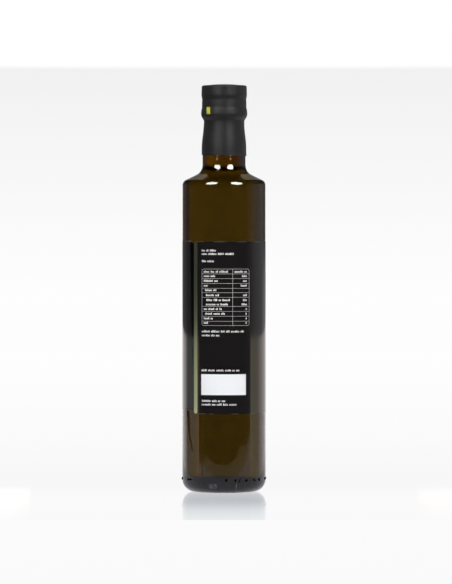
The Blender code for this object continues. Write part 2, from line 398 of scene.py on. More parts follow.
COLLAR_Z, COLLAR_REACH, COLLAR_SHARE = 269.6, 1.3, 0.8
SLANT_FOLD, UPRIGHT_FOLD, WAVE_FOLD = 0.07, 0.04, 0.05
SIDE_ROWS = (FILM_LOW_Z, 263.3, 24), (263.7, 292.3, 96)
FILM_TONES = (0.0210, 0.0200, 0.0208), (0.0310, 0.0295, 0.0305)


def film_radius(height):
    """Inner radius of the film: the cap's line above, then tucked in to the neck, its bends eased."""
    samples = np.arange(236.0, 296.0, BEND_STEP)
    tuck = np.clip((CAP_LINE[-1, 0] - samples) / TUCK, 0, 1)
    below = CAP_LINE[-1, 1] + (neck_radius(samples) - CAP_LINE[-1, 1]) * np.sin(tuck * np.pi / 2)
    on_cap = np.interp(samples, CAP_LINE[::-1, 0], CAP_LINE[::-1, 1])
    line = np.where(samples > CAP_LINE[-1, 0], on_cap, below)
    side = round(BEND_REACH / BEND_STEP)
    bell = np.exp(-((np.arange(-side, side + 1) * BEND_STEP / BEND_WIDTH) ** 2))
    eased = np.convolve(np.pad(line, side, mode="edge"), bell / bell.sum(), mode="valid")
    return np.interp(height, samples, eased) + FILM_GAP


def off_axis(height):
    """Sideways shift in metres of the capsule, which sits a little to the right above its collar."""
    share = np.clip((height - STRAIGHT_BELOW) / (OFF_AXIS_ABOVE - STRAIGHT_BELOW), 0, 1)
    shift = CAP_OFF_AXIS * share * share * (3 - 2 * share) * MM
    return np.stack([shift, np.zeros_like(shift), np.zeros_like(shift)], -1)


def creases(azimuth, height):
    """Small outward folds, from powers of sines: slanting on the skirt, upright at groove and collar."""
    slant = np.sin(23 * azimuth + 1.9 * height + 1.3 * np.sin(3 * azimuth)) ** 8
    slant = slant * (0.5 + 0.5 * np.sin(5 * azimuth - 0.4 * height))
    skirt = np.exp(-(((height - SKIRT_Z) / SKIRT_REACH) ** 2))
    upright = np.sin(31 * azimuth + 0.8 * np.sin(4 * azimuth + height)) ** 6
    drawn_in = np.exp(-(((height - GROOVE_Z) / GROOVE_REACH) ** 2))
    drawn_in = drawn_in + COLLAR_SHARE * np.exp(-(((height - COLLAR_Z) / COLLAR_REACH) ** 2))
    wave = 0.5 + 0.5 * np.sin(2 * azimuth + 0.35 * height) * np.sin(7 * azimuth)
    return SLANT_FOLD * slant * skirt + UPRIGHT_FOLD * upright * drawn_in + WAVE_FOLD * wave * skirt


film_azimuths = np.radians(np.arange(0, 360, 1.25))
side_z = np.concatenate([np.linspace(*rows) for rows in SIDE_ROWS])
side_z = side_z[:, None] * np.ones((1, len(film_azimuths)))
drop = np.clip((TILT_END_Z - side_z) / (TILT_END_Z - FILM_LOW_Z), 0, 1)
side_z = side_z - FILM_TILT * np.sin(film_azimuths)[None] * drop
folds = creases(film_azimuths[None], side_z)
lip = EDGE_FLARE * np.exp(-((side_z - FILM_LOW_Z) / EDGE_FADE) ** 2) * (1 + np.sin(film_azimuths)[None])
side_in = film_radius(side_z) + folds + lip
corner = np.radians(np.arange(12.0, 91.0, 13.0))
corner_radius = CAP_EDGE_FILLET + FILM_GAP
turn_in = CAP_LINE[0, 1] + FILM_GAP - corner_radius
top_shares = np.linspace(0.92, 0.0, 9)


def film_line(extra, side):
    """Radii and heights from the film's lower edge up its side and over the top, moved out by the extra."""
    over_r = np.concatenate([turn_in + (corner_radius + extra) * np.cos(corner), turn_in * top_shares])
    over_z = CAP_TOP_Z + FILM_GAP - corner_radius + (corner_radius + extra) * np.sin(corner)
    ridge = RIM_RIDGE * np.exp(-(((turn_in * top_shares - RIDGE_RADIUS) / RIDGE_WIDTH) ** 2))
    top_z = CAP_TOP_Z + FILM_GAP + extra - RIM_DROP + ridge + DOME_RISE * (1 - top_shares**2)
    over_z = np.concatenate([over_z, top_z])
    ones = np.ones((1, len(film_azimuths)))
    return np.concatenate([side, over_r[:, None] * ones]), over_z[:, None] * ones


outer_r, over_z = film_line(FILM, side_in + FILM)
inner_r, inner_over_z = film_line(0.0, side_in)
outer_z = np.concatenate([side_z, over_z])
inner_z = np.concatenate([side_z, inner_over_z])
film_black, shader, add, link, grain = grained(
    "shrink_film_black", FILM_TONES, 350.0, detail=4.0, roughness=0.42
)
relief = add("ShaderNodeBump", {"Strength": 0.15, "Distance": 0.0002})
link(grain.outputs["Fac"], relief.inputs["Height"])
link(relief.outputs["Normal"], shader.inputs["Normal"])
capsule_film = turned(
    "capsule_film",
    np.concatenate([inner_r[::-1], outer_r]),
    np.concatenate([inner_z[::-1], outer_z]),
    film_azimuths,
    film_black,
    shift=off_axis,
)
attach(capsule_film, "root")
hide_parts("shrink_sleeve")


# Mark on the film: one small upright bar of yellow-green ink on the skirt of the capsule. It is
# printed before the film shrinks, so it follows the film's creases.
BAR_SIDES = (-12.6, -10.15)
BAR_HEIGHTS = (272.3, 277.4)
BAR_OUT, BAR_IN = 0.03, 0.10
BAR_COLOUR = (0.51, 0.52, 0.055)
bar_z = np.linspace(*BAR_HEIGHTS, 20)[:, None]
bar_azimuth = np.arcsin(np.linspace(*BAR_SIDES, 16)[None] / (film_radius(bar_z) + FILM))
bar_r = film_radius(bar_z) + creases(bar_azimuth, bar_z) + FILM
bar_tones = [tuple(share * value for value in BAR_COLOUR) for share in (0.9, 1.1)]
bar_green, *_ = grained("mark_yellow_green", bar_tones, 1200.0)
capsule_mark = closed_sheet(
    "capsule_mark",
    around(bar_r + BAR_OUT, bar_azimuth, bar_z) + off_axis(bar_z),
    around(bar_r - BAR_IN, bar_azimuth, bar_z) + off_axis(bar_z),
    bar_green,
)
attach(capsule_mark, "root")


# Label on the far side: a black film label wrapped round the front of the bottle. It is stuck on
# slightly askew, so its end leans and leaves a gap that narrows downwards.
LABEL_IN, LABEL_OUT = BODY_RADIUS + 0.02, BODY_RADIUS + 0.12
FAR_SPAN = np.radians([131.0, 313.6])
FAR_HEIGHTS = (57.5, 178.5)
FAR_SKEW = math.radians(1.75)
BACK_HEIGHTS = (57.1, 180.6)
# Painted highlight: a pale band this wide, broken into dashes, along the label's top and bottom edges.
EDGE_HIGHLIGHT_WIDTH = 0.35
EDGE_HIGHLIGHT_COLOUR = (0.14, 0.13, 0.135, 1.0)
LABEL_TONES = (0.0110, 0.0094, 0.0100, 1.0), (0.0155, 0.0132, 0.0141, 1.0)
LABEL_ROUGHNESS, LABEL_GLEAM = 0.10, 0.68


def black_label(name):
    """Glossy black label stock: faint fibre in its tone, and a painted highlight in broken dashes along its
    top and bottom edges.
    """
    material, shader, add, link = new_material(name)
    where = add("ShaderNodeTexCoord")
    grain = add("ShaderNodeTexNoise", {"Scale": 600.0, "Detail": 5.0})
    link(where.outputs["Object"], grain.inputs["Vector"])
    tone = add("ShaderNodeMix", data_type="RGBA")
    tone.inputs["A"].default_value, tone.inputs["B"].default_value = LABEL_TONES
    link(grain.outputs["Fac"], tone.inputs["Factor"])
    apart = add("ShaderNodeSeparateXYZ")
    link(where.outputs["Object"], apart.inputs["Vector"])
    dashes = add("ShaderNodeTexNoise", {"Scale": 140.0, "Detail": 1.0})
    link(where.outputs["Object"], dashes.inputs["Vector"])
    highlight_dashes = add("ShaderNodeMapRange", {"From Min": 0.45, "From Max": 0.60})
    link(dashes.outputs["Fac"], highlight_dashes.inputs["Value"])
    for edge, inwards in ((BACK_HEIGHTS[0], EDGE_HIGHLIGHT_WIDTH), (BACK_HEIGHTS[1], -EDGE_HIGHLIGHT_WIDTH)):
        fade = {"From Min": (edge + inwards) * MM, "From Max": (edge + inwards / 2) * MM}
        rim = add("ShaderNodeMapRange", fade)
        link(apart.outputs["Z"], rim.inputs["Value"])
        shown = add("ShaderNodeMath", operation="MULTIPLY")
        link(rim.outputs["Result"], shown.inputs[0])
        link(highlight_dashes.outputs["Result"], shown.inputs[1])
        highlighted = add("ShaderNodeMix", data_type="RGBA")
        highlighted.inputs["B"].default_value = EDGE_HIGHLIGHT_COLOUR
        link(tone.outputs["Result"], highlighted.inputs["A"])
        link(shown.outputs["Value"], highlighted.inputs["Factor"])
        tone = highlighted
    link(tone.outputs["Result"], shader.inputs["Base Color"])
    shader.inputs["Roughness"].default_value = LABEL_ROUGHNESS
    shader.inputs["Specular IOR Level"].default_value = LABEL_GLEAM
    return material


far_share = np.linspace(0, 1, 150)[None]
far_rise = np.linspace(0, FAR_HEIGHTS[1] - FAR_HEIGHTS[0], 24)[:, None]
far_turn = (FAR_SPAN[1] - FAR_SPAN[0]) * far_share
far_azimuth = FAR_SPAN[0] + far_turn - far_rise * math.tan(FAR_SKEW) / LABEL_IN
far_z = FAR_HEIGHTS[0] + far_rise + far_turn * LABEL_IN * math.tan(FAR_SKEW)
label_stock = black_label("label_gloss_black")
far_label = closed_sheet(
    "far_label",
    around(LABEL_OUT, far_azimuth, far_z),
    around(LABEL_IN, far_azimuth, far_z),
    label_stock,
)
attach(far_label, "root")
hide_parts("label_front")


# Label on the side that is seen: a film label of the same black stock with small round corners. It
# is stuck on straight and wraps nearly half way round the bottle, to the right from the gap.
BACK_SPAN = np.radians([-45.8, 124.0])
BACK_CORNER = 1.6


def rounded_sheet(name, span, heights, corner, radii, rows, columns, material):
    """A wrapped sheet with round corners: near each end its height follows a quarter circle."""
    length = (span[1] - span[0]) * radii[1]
    ease = corner * (1 - np.cos(np.radians(np.linspace(0, 90, 9))))
    along = np.unique(np.concatenate([ease, np.linspace(corner, length - corner, columns), length - ease]))
    inset = np.clip(corner - np.minimum(along, length - along), 0, corner)
    cut = corner - np.sqrt(np.clip(corner**2 - inset**2, 0, None))
    share = np.linspace(0, 1, rows)[:, None]
    z = heights[0] + cut[None] + share * (heights[1] - heights[0] - 2 * cut[None])
    azimuth = (span[0] + along / radii[1])[None]
    return closed_sheet(name, around(radii[1], azimuth, z), around(radii[0], azimuth, z), material)


back_label = rounded_sheet(
    "back_label", BACK_SPAN, BACK_HEIGHTS, BACK_CORNER, (LABEL_IN, LABEL_OUT), 24, 140, label_stock
)
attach(back_label, "root")
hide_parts("label_back")


# Stripe: grey-green ink printed along the label's left end. Its tone runs from pale at the foot to dark
# at the top: painted light from the white table below, laid over the ink's own colour. It keeps just
# inside the label's cut edge and follows its round corners.
STRIPE_SPAN = np.radians([-45.4, -39.2])
STRIPE_HEIGHTS = (57.3, 180.2)
STRIPE_CORNER = 1.4
INK, INK_ROOT = 0.06, 0.05
INK_RADII = (LABEL_OUT - INK_ROOT, LABEL_OUT + INK)
STRIPE_ROUGHNESS = 0.3
# The ink's own grey-green, with painted light that grows towards the foot.
STRIPE_INK_AND_LIGHT_TONES = [
    (0.0, (174, 179, 143)),
    (0.09, (160, 168, 130)),
    (0.25, (144, 152, 112)),
    (0.42, (125, 131, 99)),
    (0.54, (90, 94, 71)),
    (0.66, (75, 79, 60)),
    (0.78, (66, 70, 53)),
    (1.0, (62, 65, 54)),
]


def linear(colour):
    """Linear light of an 8-bit display colour."""
    share = np.array(colour) / 255
    return np.where(share <= 0.04045, share / 12.92, ((share + 0.055) / 1.055) ** 2.4)


def places(add, link):
    """The X, Y and Z of each point in the piece's own coordinates."""
    where = add("ShaderNodeTexCoord")
    apart = add("ShaderNodeSeparateXYZ")
    link(where.outputs["Object"], apart.inputs["Vector"])
    return apart.outputs


def tones_along(add, link, value, stops):
    """A colour read off a list of (place, colour) stops."""
    low, high = stops[0][0], stops[-1][0]
    share = add("ShaderNodeMapRange", {"From Min": low, "From Max": high})
    link(value, share.inputs["Value"])
    ramp = add("ShaderNodeValToRGB")
    while len(ramp.color_ramp.elements) < len(stops):
        ramp.color_ramp.elements.new(0.5)
    for element, (place, colour) in zip(ramp.color_ramp.elements, stops):
        element.position = (place - low) / (high - low)
        element.color = (*np.broadcast_to(colour, 3), 1.0)
    link(share.outputs["Result"], ramp.inputs["Fac"])
    return ramp.outputs["Color"]


stripe_ink, shader, add, link = new_material("stripe_grey_green")
foot, head = STRIPE_HEIGHTS
stripe_ink_and_light_stops = [((foot + share * (head - foot)) * MM, linear(colour)) for share, colour in STRIPE_INK_AND_LIGHT_TONES]
link(tones_along(add, link, places(add, link)["Z"], stripe_ink_and_light_stops), shader.inputs["Base Color"])
shader.inputs["Roughness"].default_value = STRIPE_ROUGHNESS
stripe = rounded_sheet("stripe", STRIPE_SPAN, STRIPE_HEIGHTS, STRIPE_CORNER, INK_RADII, 24, 8, stripe_ink)
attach(stripe, "root")
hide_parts("label_stripe")


# White panel: a plain field of white ink near the label's foot. It is printed on the black stock
# and bends round the bottle with it.
PANEL_SPAN = np.radians([-32.6, 31.2])
PANEL_HEIGHTS = (70.7, 85.6)
PANEL_CORNER = 0.15
PANEL_TONES = (0.86, 0.875, 0.90), (0.90, 0.915, 0.94)
panel_ink, *_ = grained("panel_white_ink", PANEL_TONES, 500.0, detail=4.0)
panel = rounded_sheet("panel", PANEL_SPAN, PANEL_HEIGHTS, PANEL_CORNER, INK_RADII, 4, 64, panel_ink)
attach(panel, "root")
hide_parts("label_panel")


# Print on the label: white ink. Rows of small blocks stand where the small type is, as (y, left x,
# right x) in points of the picture, and thin rules make a table of two columns with a frame.
AXIS_X, HORIZON_Y, FOCAL = 224.0, 221.5, 4150.0
CAMERA_DISTANCE, CAMERA_HEIGHT = 3000.0, 195.0
X_HEIGHT, ASCENDER = 1.05, 0.42
LETTER_WIDTH, LETTER_GAP, LETTER_VARIES = 0.9, 0.12, 0.25
TALL_SHARE = 0.3
WORD_LETTERS, MOST_WORDS = (3, 9), 40
RULE = 0.13
FRAME_CORNER = 1.5
MIDDLE_Y = 300.0
CHART_X = (201.9, 249.2)
CHART_Y = (269.0, 325.7)
DIVIDER_X = 232.7
RULES_Y = (273.9, 278.6, 283.5, 288.4, 292.7, 297.4, 306.5, 311.4, 316.3, 321.3)
TEXT_ROWS = (
    (250.7, 201.7, 215.9),
    (254.1, 201.7, 233.8),
    (261.4, 201.9, 214.1),
    (271.9, 203.7, 228.2),
    (271.9, 234.5, 247.0),
    (276.3, 203.7, 215.3),
    (276.3, 242.0, 247.0),
    (281.1, 203.7, 218.0),
    (281.1, 243.0, 247.0),
    (285.8, 203.7, 207.7),
    (285.8, 240.7, 247.0),
    (290.4, 205.0, 216.6),
    (295.4, 205.9, 219.0),
    (295.4, 243.0, 247.0),
    (300.3, 206.3, 230.0),
    (300.3, 243.0, 247.0),
    (304.6, 205.9, 228.0),
    (304.6, 241.6, 247.0),
    (309.2, 203.7, 222.0),
    (309.2, 245.6, 247.0),
    (313.9, 205.0, 225.0),
    (313.9, 245.6, 247.0),
    (318.6, 203.7, 213.0),
    (318.6, 245.6, 247.0),
    (323.0, 203.7, 208.0),
    (323.0, 245.6, 247.0),
    (331.6, 201.8, 244.0),
    (335.6, 201.8, 219.6),
    (370.5, 201.4, 239.5),
    (401.1, 201.9, 225.3),
    (404.7, 201.6, 236.5),
)
PRINT_RADIUS, PRINT_ROOT = LABEL_OUT + 0.04, LABEL_OUT - INK_ROOT
PRINT_TONES = (0.70, 0.70, 0.69), (0.90, 0.90, 0.89)


def on_label(x, y):
    """Azimuth and height where the line of sight through a picture point meets the label."""
    azimuth = 0.0
    for _ in range(5):
        depth = CAMERA_DISTANCE - PRINT_RADIUS * np.cos(azimuth)
        azimuth = np.arcsin((x - AXIS_X) * depth / (FOCAL * PRINT_RADIUS))
    return azimuth, CAMERA_HEIGHT - (y - HORIZON_Y) * depth / FOCAL


def plates(azimuths, heights, steps):
    """Closed flat plates given by (from, to) azimuths and heights, each bent to the label in steps."""
    share = np.linspace(0, 1, steps + 1)
    azimuth = azimuths[:, :1] + (azimuths[:, 1:] - azimuths[:, :1]) * share
    low = np.broadcast_to(heights[:, :1], azimuth.shape)
    high = np.broadcast_to(heights[:, 1:], azimuth.shape)
    edges = ((PRINT_RADIUS, low), (PRINT_RADIUS, high), (PRINT_ROOT, high), (PRINT_ROOT, low))
    points = np.stack([around(depth, azimuth, z) for depth, z in edges], axis=2).reshape(-1, 3)
    rib = np.arange(len(azimuths) * (steps + 1)).reshape(len(azimuths), steps + 1) * 4
    near, ahead = rib[:, :-1, None], rib[:, 1:, None]
    corner, following = np.arange(4), (np.arange(4) + 1) % 4
    sides = np.stack([near + corner, ahead + corner, ahead + following, near + following], -1).reshape(-1, 4)
    start = rib[:, 0, None] + np.arange(4)
    end = rib[:, -1, None] + np.arange(3, -1, -1)
    return points, np.concatenate([sides, start, end])


def frame_ring(azimuths, heights, corner, width, per_side=40):
    """A closed thin frame with round corners round this field of the label."""
    half_width, half_height = (azimuths[1] - azimuths[0]) * PRINT_RADIUS / 2, (heights[1] - heights[0]) / 2
    rings = []
    for inset in (0.0, width):
        reach = corner - inset
        along = []
        for quarter in range(4):
            turn = np.radians(90 * quarter + np.linspace(0, 90, 7))
            across = (half_width - corner) * np.sign(np.cos(turn[3])) + reach * np.cos(turn)
            upright = (half_height - corner) * np.sign(np.sin(turn[3])) + reach * np.sin(turn)
            along.append(np.stack([across, upright], -1))
        loop = np.concatenate(along)
        ahead = np.roll(loop, -1, axis=0)
        counts = np.where(np.hypot(*(ahead - loop).T) > 3, per_side, 1)
        starts = np.repeat(np.arange(len(loop)), counts)
        shares = np.concatenate([np.arange(count) / count for count in counts])[:, None]
        rings.append(loop[starts] + (ahead[starts] - loop[starts]) * shares)
    middle_azimuth, middle_z = np.mean(azimuths), np.mean(heights)
    outer, inner = rings
    lines = ((outer, PRINT_RADIUS), (inner, PRINT_RADIUS), (inner, PRINT_ROOT), (outer, PRINT_ROOT))
    walls = [
        around(depth, middle_azimuth + line[:, 0] / PRINT_RADIUS, middle_z + line[:, 1])
        for line, depth in lines
    ]
    points = np.stack(walls, axis=1).reshape(-1, 3)
    near = np.arange(len(rings[0]))[:, None] * 4
    ahead = np.roll(near, -1, axis=0)
    corner, following = np.arange(4), (np.arange(4) + 1) % 4
    faces = np.stack([near + corner, near + following, ahead + following, ahead + corner], -1).reshape(-1, 4)
    return points, faces[:, ::-1]


rng = np.random.default_rng(11)
starts, ends, lows, highs = [], [], [], []
for y, left, right in TEXT_ROWS:
    azimuth, z = on_label(np.array([left, right]), y)
    count = max(2, round((azimuth[1] - azimuth[0]) * PRINT_RADIUS / LETTER_WIDTH))
    cells = np.linspace(azimuth[0], azimuth[1], count + 1)
    keep = np.ones(count, dtype=bool)
    spaces = np.cumsum(rng.integers(*WORD_LETTERS, MOST_WORDS))
    keep[spaces[spaces < count - 1]] = False
    cell = cells[1:] - cells[:-1]
    begin = cells[:-1] + LETTER_GAP * cell
    finish = cells[1:] - (LETTER_GAP + LETTER_VARIES * rng.random(count)) * cell
    tall = np.where(rng.random(count) < TALL_SHARE, ASCENDER, 0.0)
    starts.append(begin[keep])
    ends.append(finish[keep])
    lows.append((z.mean() - X_HEIGHT / 2 + 0 * begin)[keep])
    highs.append((z.mean() + X_HEIGHT / 2 + tall)[keep])
letters = plates(
    np.stack([np.concatenate(starts), np.concatenate(ends)], -1),
    np.stack([np.concatenate(lows), np.concatenate(highs)], -1),
    1,
)
chart_azimuths, _ = on_label(np.array(CHART_X), MIDDLE_Y)
_, chart_z = on_label(np.array([AXIS_X, AXIS_X]), np.array(CHART_Y[::-1]))
_, rules_z = on_label(np.full(len(RULES_Y), AXIS_X), np.array(RULES_Y))
rules = plates(
    np.repeat(chart_azimuths[None], len(RULES_Y), axis=0),
    np.stack([rules_z - RULE / 2, rules_z + RULE / 2], -1),
    56,
)
divider_azimuth, _ = on_label(np.array([DIVIDER_X]), MIDDLE_Y)
divider = plates(
    divider_azimuth[:, None] + np.array([[-RULE / 2, RULE / 2]]) / PRINT_RADIUS,
    chart_z[None],
    1,
)
ring = frame_ring(chart_azimuths, chart_z, FRAME_CORNER, RULE)
parts = [letters, rules, divider, ring]
offsets = np.cumsum([0] + [len(points) for points, _ in parts[:-1]])
points = np.concatenate([points for points, _ in parts])
faces = np.concatenate([faces + offset for (_, faces), offset in zip(parts, offsets)])
print_ink, *_ = grained("print_white_ink", PRINT_TONES, 1500.0, detail=3.0)
label_print = new_object("label_print", points, faces.tolist(), print_ink, smooth=False)
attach(label_print, "root")


# Table: a white glossy top that carries a soft image of the bottle. The curve of its front edge and
# the low white cards beside the bottle are only seen as reflections, and the lit panel behind the
# neck only through the glass. The top and the cards glow instead of being lit, with painted tones;
# the top's tones differ for direct sight, for reflections and for sight through the glass.
TABLE_NEAR, TABLE_FAR, TABLE_SIDE, TABLE_WING_Y = -0.289, 3.2, 1.6, -0.050
STRIP_CORNERS = [
    (-0.464, -0.289),
    (-0.464, -0.337),
    (-0.172, -0.373),
    (0.076, -0.389),
    (0.273, -0.416),
    (0.410, -0.480),
    (0.520, -0.450),
    (0.600, -0.289),
]
TABLE_CORNERS = [
    (-0.464, TABLE_NEAR),
    (0.600, TABLE_NEAR),
    (0.950, -0.216),
    (TABLE_SIDE, TABLE_WING_Y),
    (TABLE_SIDE, TABLE_FAR),
    (-TABLE_SIDE, TABLE_FAR),
    (-TABLE_SIDE, TABLE_WING_Y),
    (-0.950, -0.190),
]
WING_CORNERS = [(TABLE_SIDE, 1.3), (9.0, 7.3), (9.0, 15.0), (TABLE_SIDE, 12.0)]
THROUGH_TONES = [
    (-180, 0.95),
    (-90, 0.95),
    (-66, 0.32),
    (-42, 0.32),
    (-36, 0.62),
    (-30, 0.85),
    (-24, 0.95),
    (45, 0.90),
    (47, 0.30),
    (62, 0.30),
    (80, 0.95),
    (180, 0.95),
]
TABLE_THROUGH = 0.82
TABLE_STOPS = [
    (-0.289, 0.950, 0.15, (1.0, 0.80, 0.77)),
    (-0.271, 0.952, 0.165, (1.0, 0.80, 0.77)),
    (-0.195, 0.956, 0.26, (1.0, 0.885, 0.79)),
    (-0.125, 0.956, 0.43, (1.0, 0.935, 0.88)),
    (-0.094, 0.956, 0.47, (1.0, 0.955, 0.895)),
    (-0.040, 0.952, 0.42, (1.0, 1.0, 0.94)),
    (0.0, 0.945, 0.40, (1.0, 1.0, 1.0)),
    (0.060, 0.935, 0.0, (1.0, 1.0, 1.0)),
    (0.130, 0.932, 0.0, (1.0, 1.0, 1.0)),
    (0.390, 0.942, 0.0, (1.0, 1.0, 1.0)),
    (0.700, 0.956, 0.0, (1.0, 1.0, 1.0)),
    (1.500, 0.972, 0.0, (1.0, 1.0, 1.0)),
    (2.200, 0.982, 0.0, (1.0, 1.0, 1.0)),
    (3.200, 0.986, 0.0, (1.0, 1.0, 1.0)),
]
GLOSS_ROUGHNESS = 0.08
TABLE_GLEAM = [
    (-0.480, (0.20, 0.19, 0.13)),
    (-0.375, (0.36, 0.35, 0.25)),
    (-0.235, (0.44, 0.43, 0.33)),
    (-0.205, (0.64, 0.63, 0.68)),
    (-0.055, (0.70, 0.68, 0.78)),
    (0.060, (0.76, 0.74, 0.78)),
    (0.500, (0.90, 0.90, 0.88)),
]
SOFT_GLEAM = 0.5
SIDE_FADE = [(-0.43, 0.15), (-0.30, 1.0), (0.60, 1.0)]
CARD_HEIGHT = 0.107
CARD_SIDE = 0.21
CARD_FAR = 1.5
LEFT_TONES = [
    (-0.0806, (1.12, 0.84, 0.58)),
    (-0.056, (0.95, 0.75, 0.55)),
    (-0.035, (0.72, 0.61, 0.47)),
    (0.000, (0.57, 0.55, 0.51)),
    (0.028, (0.44, 0.47, 0.50)),
    (0.053, (0.42, 0.42, 0.42)),
    (0.097, (0.40, 0.34, 0.33)),
    (0.125, (1.00, 0.90, 0.88)),
    (0.161, (1.20, 1.12, 1.10)),
    (0.217, (1.25, 1.20, 1.20)),
]
RIGHT_TONES = [
    (-0.0625, (1.25, 1.02, 0.74)),
    (-0.043, (0.95, 0.88, 0.66)),
    (-0.016, (0.84, 0.79, 0.58)),
    (0.028, (0.80, 0.74, 0.58)),
    (0.060, (0.95, 0.84, 0.70)),
    (0.084, (1.20, 1.05, 0.94)),
    (0.142, (1.20, 1.08, 1.04)),
    (0.250, (1.15, 1.10, 1.10)),
]
GAP_SIDE = 0.208
GAP_LINE = [
    (0.004, 0.0200),
    (0.047, 0.0355),
    (0.047, 0.0460),
    (0.124, 0.0465),
    (0.124, 0.0495),
    (0.061, 0.0495),
    (0.061, 0.0355),
    (0.020, 0.0200),
]
GAP_COLOUR = (0.03, 0.03, 0.03)
STRIP_NEAR, STRIP_FAR = -0.135, -0.119
STRIP_COLOUR = (0.22, 0.16, 0.08)
SCREEN_AZIMUTHS = np.radians([9.0, 20.0, 34.0, 55.0])
SCREEN_REACH, SCREEN_LOW, SCREEN_HIGH = 0.5, 0.231, 0.262
SCREEN_TONES = [
    (0.287, (1.90, 2.50, 2.60)),
    (0.430, (1.90, 2.40, 2.40)),
    (0.470, (1.50, 1.70, 1.60)),
    (0.494, (1.10, 1.10, 1.00)),
]


def studio_plane(name, corners, material):
    """One flat or bent face of the studio."""
    points = np.array(corners, dtype=float)
    plane = new_object(name, points, [tuple(range(len(points)))], material, smooth=False)
    return plane


def by_angle(add, link, angle, stops):
    """A tone read off a list of (degrees, tone) pairs."""
    return tones_along(add, link, angle, [(math.radians(turn), tone) for turn, tone in stops])


def glowing(name, colour, in_sharp=1.0, in_soft=1.0, along=None):
    """A surface that gives off even light, or tones that change along Y, stronger in sharp reflections."""
    material, shader, add, link = new_material(name)
    glow = add("ShaderNodeEmission", {"Color": (*colour, 1.0)})
    path = add("ShaderNodeLightPath")
    strength = add("ShaderNodeMapRange", {"To Min": in_soft, "To Max": in_sharp})
    link(path.outputs["Is Singular Ray"], strength.inputs["Value"])
    link(strength.outputs["Result"], glow.inputs["Strength"])
    if along:
        link(tones_along(add, link, places(add, link)["Y"], along), glow.inputs["Color"])
    link(glow.outputs["Emission"], material.node_tree.nodes["Material Output"].inputs["Surface"])
    material.cycles.emission_sampling = "NONE"
    return material


table_white, shader, add, link = new_material("table_white_gloss")
path = add("ShaderNodeLightPath")
across, depth, _ = places(add, link)
mirror_stops = [(place, mirror) for place, _, mirror, _ in TABLE_STOPS]
tint_stops = [(place, tint) for place, _, _, tint in TABLE_STOPS]
# The glow the top shows when seen directly: a painted tone, less its own reflection.
table_glow_stops = [
    (place, (seen_tone - mirror * np.array(tint)) / (1 - mirror))
    for place, seen_tone, mirror, tint in TABLE_STOPS
]
seen = add("ShaderNodeMix", data_type="RGBA")
link(tones_along(add, link, depth, table_glow_stops), seen.inputs["B"])
sharp = add("ShaderNodeMapRange", {"To Min": SOFT_GLEAM, "To Max": 1.0})
link(path.outputs["Is Singular Ray"], sharp.inputs["Value"])
gleam = add("ShaderNodeMix", {"Factor": 1.0}, data_type="RGBA", blend_type="MULTIPLY")
link(tones_along(add, link, depth, TABLE_GLEAM), gleam.inputs["A"])
link(sharp.outputs["Result"], gleam.inputs["B"])
faded = add("ShaderNodeMix", {"Factor": 1.0}, data_type="RGBA", blend_type="MULTIPLY")
link(gleam.outputs["Result"], faded.inputs["A"])
link(tones_along(add, link, across, SIDE_FADE), faded.inputs["B"])
link(faded.outputs["Result"], seen.inputs["A"])
link(path.outputs["Is Camera Ray"], seen.inputs["Factor"])
azimuth = add("ShaderNodeMath", operation="ARCTAN2")
link(across, azimuth.inputs[0])
link(depth, azimuth.inputs[1])
table_through = [(turn, TABLE_THROUGH * tone) for turn, tone in THROUGH_TONES]
through = add("ShaderNodeMix", data_type="RGBA")
link(by_angle(add, link, azimuth.outputs["Value"], table_through), through.inputs["B"])
link(path.outputs["Is Transmission Ray"], through.inputs["Factor"])
link(seen.outputs["Result"], through.inputs["A"])
glow = add("ShaderNodeEmission")
link(through.outputs["Result"], glow.inputs["Color"])
gloss = add("ShaderNodeBsdfGlossy", {"Roughness": GLOSS_ROUGHNESS})
link(tones_along(add, link, depth, tint_stops), gloss.inputs["Color"])
coat = add("ShaderNodeMixShader")
coated = add("ShaderNodeMath", operation="MULTIPLY")
link(path.outputs["Is Camera Ray"], coated.inputs[0])
link(tones_along(add, link, depth, mirror_stops), coated.inputs[1])
link(coated.outputs["Value"], coat.inputs["Fac"])
link(glow.outputs["Emission"], coat.inputs[1])
link(gloss.outputs["BSDF"], coat.inputs[2])
link(coat.outputs["Shader"], table_white.node_tree.nodes["Material Output"].inputs["Surface"])
table_white.cycles.emission_sampling = "NONE"
studio_plane("table_top", [(x, y, 0.0) for x, y in TABLE_CORNERS], table_white)
table_edge = studio_plane("table_edge", [(x, y, 0.0) for x, y in STRIP_CORNERS[::-1]], table_white)
table_edge.visible_camera = False
studio_plane("right_wing", [(x, y, 0.0) for x, y in WING_CORNERS], table_white)


def only_reflected(name, corners, material):
    """A surface of the studio that only shows in reflections."""
    plane = studio_plane(name, corners, material)
    plane.visible_camera = plane.visible_diffuse = plane.visible_transmission = False


def card(name, side, near, far, material):
    """A low card that stands on the table beside the bottle, from its near to its far end."""
    line = [(near, 0.0), (far, 0.0), (far, CARD_HEIGHT), (near, CARD_HEIGHT)]
    only_reflected(name, [(side, y, z) for y, z in line], material)


